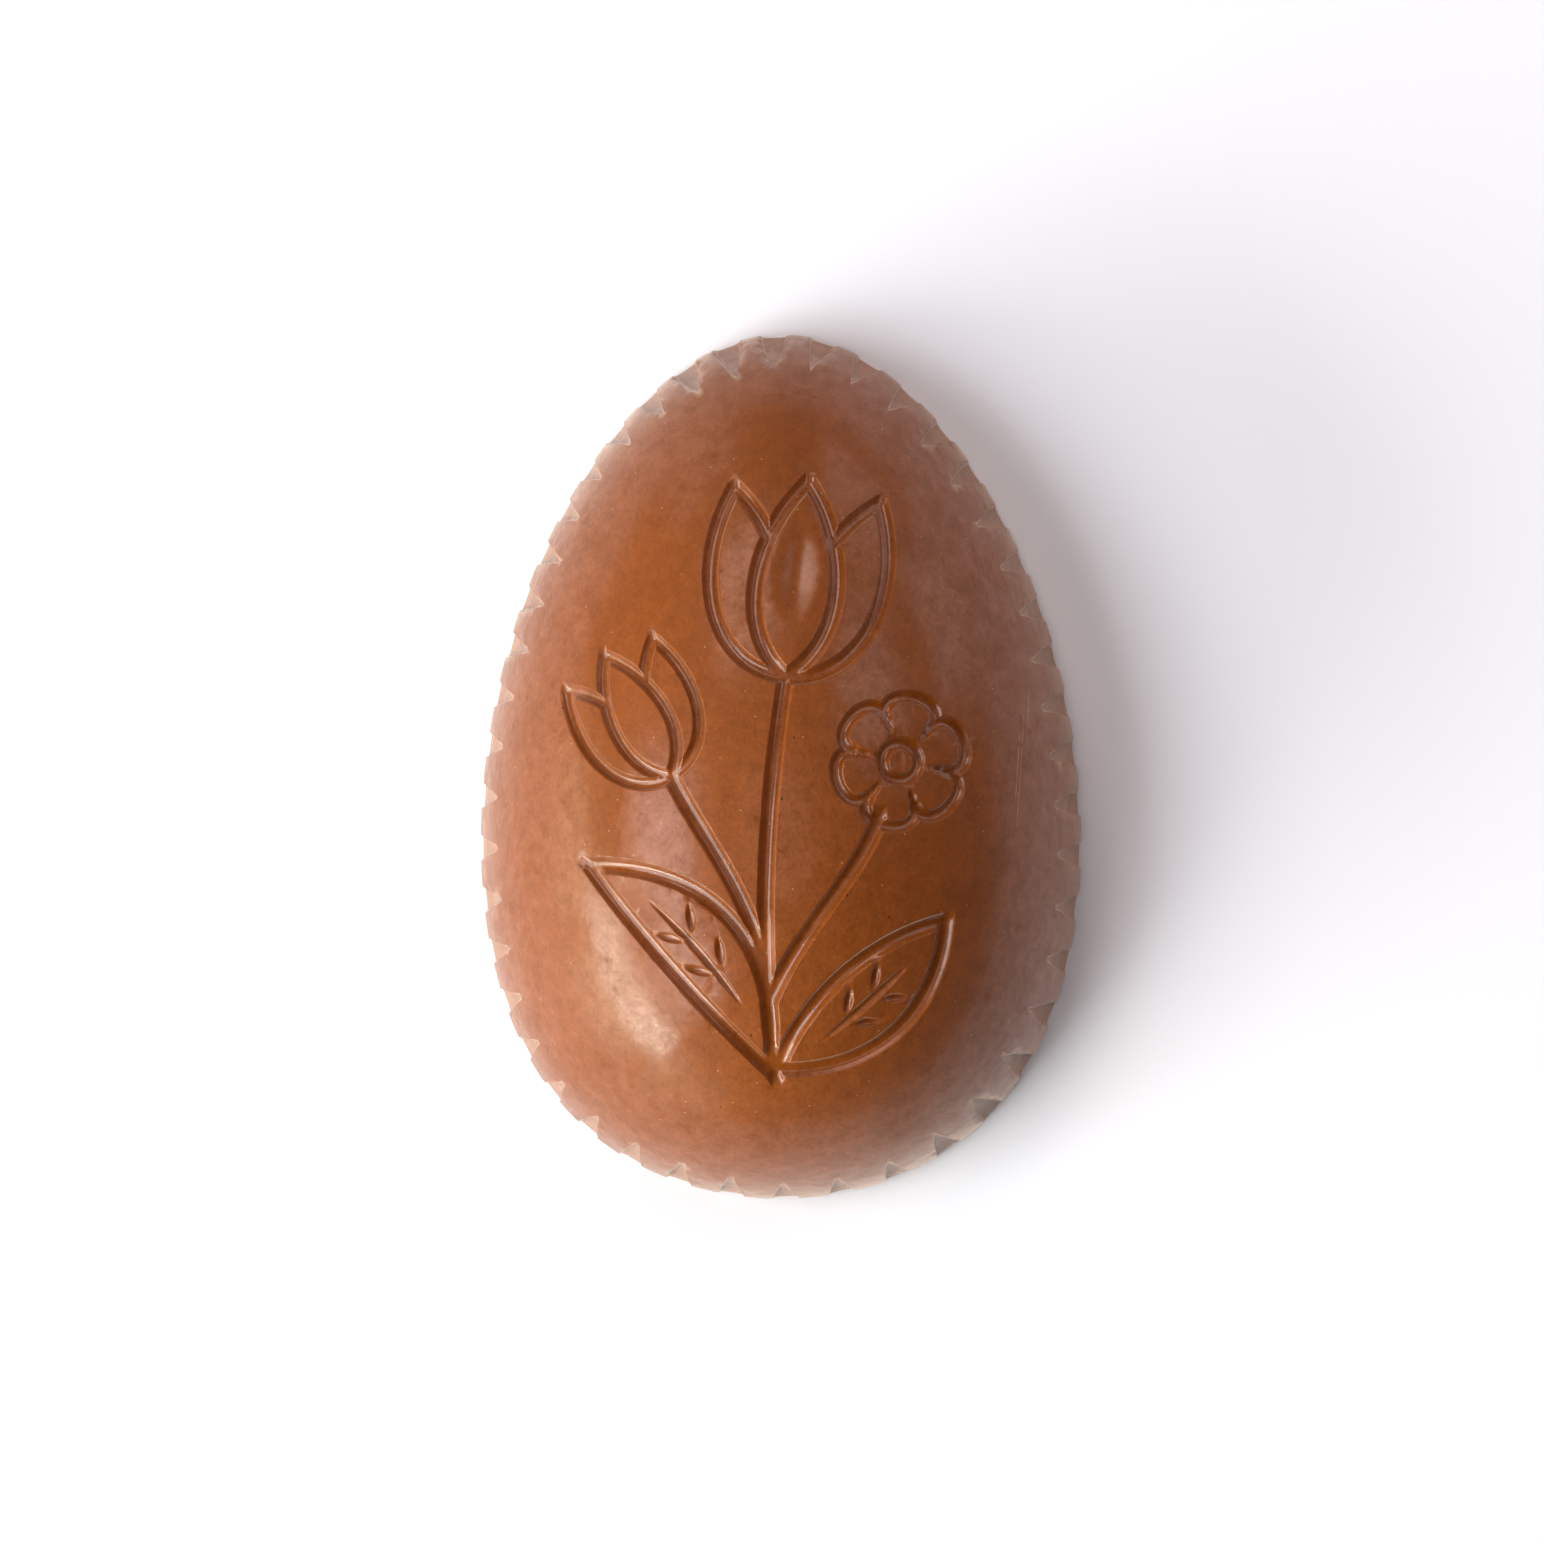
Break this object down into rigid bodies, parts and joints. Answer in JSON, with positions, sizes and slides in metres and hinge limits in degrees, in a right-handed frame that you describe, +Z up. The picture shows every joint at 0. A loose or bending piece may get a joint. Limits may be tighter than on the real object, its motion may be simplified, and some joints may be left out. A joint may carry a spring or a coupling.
{
  "type": "chocolate egg",
  "caption": "Moulded milk chocolate half egg lying on its flat back, with triangular facets round the rim and a spray of spring flowers engraved on top.",
  "frame": {"origin": "middle of the flat back, at the level of the surface that the egg lies on", "axes": "+Z up out of the flat back, +Y along the egg's length towards its narrow end, +X to the right of the engraving"},
  "size_m": [0.0625, 0.09, 0.0312],
  "materials": {
    "milk_chocolate": "satin milk chocolate, glossy where it met the polished mould, with a faint bloom and cloudy release marks"
  },
  "bodies": {
    "root": {"chocolate_egg_half": "milk_chocolate"}
  },
  "joints": []
}
